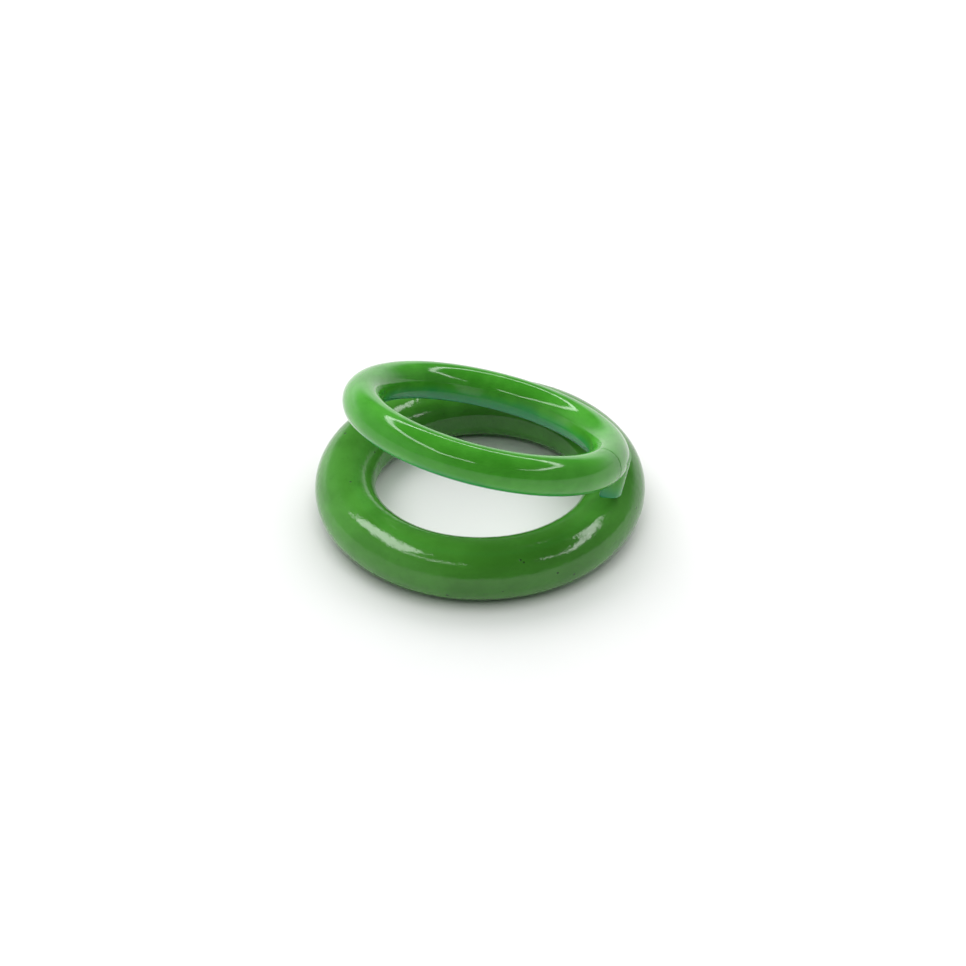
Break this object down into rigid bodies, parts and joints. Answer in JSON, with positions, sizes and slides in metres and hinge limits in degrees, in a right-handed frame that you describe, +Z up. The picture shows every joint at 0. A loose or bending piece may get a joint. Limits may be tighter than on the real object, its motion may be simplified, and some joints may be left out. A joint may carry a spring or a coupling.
{
  "type": "poultry leg band pair",
  "caption": "Pair of split round-section plastic poultry leg bands: a thin one with a stop lug leans on a thick one. Both spring open at a seam to go round a bird's leg.",
  "frame": {"origin": "on the thick band's axis, at the surface that it lies on", "axes": "+Z up along the thick band's axis, +X right and +Y away as seen from the side where the thin band stands high at the left front"},
  "size_m": [0.025, 0.025, 0.014],
  "materials": {
    "thick_band_plastic": "gloss",
    "thin_band_plastic": "gloss"
  },
  "bodies": {
    "thick_band_back": {"thick_band_back_arm": "thick_band_plastic"},
    "thick_band_front": {"thick_band_front_arm": "thick_band_plastic"},
    "thin_band_back": {"thin_band_back_arm": "thin_band_plastic"},
    "thin_band_front": {"thin_band_front_arm": "thin_band_plastic"}
  },
  "joints": [
    {"name": "thick_band_spring", "type": "hinge", "parent": "thick_band_back", "child": "thick_band_front", "pos_m": [0.00945, -0.00821, 0.0023], "axis": [0, 0, 1], "range_deg": [0, 32], "stiffness_Nm_per_rad": 0.18},
    {"name": "thin_band_lift", "type": "slide", "parent": "thick_band_back", "child": "thin_band_back", "axis": [0, 0, 1], "range_m": [0, 0.03]},
    {"name": "thin_band_spring", "type": "hinge", "parent": "thin_band_back", "child": "thin_band_front", "pos_m": [-0.00925, 0.00287, 0.00992], "axis": [-0.231, -0.301, -0.9252], "range_deg": [0, 35], "stiffness_Nm_per_rad": 0.03}
  ]
}
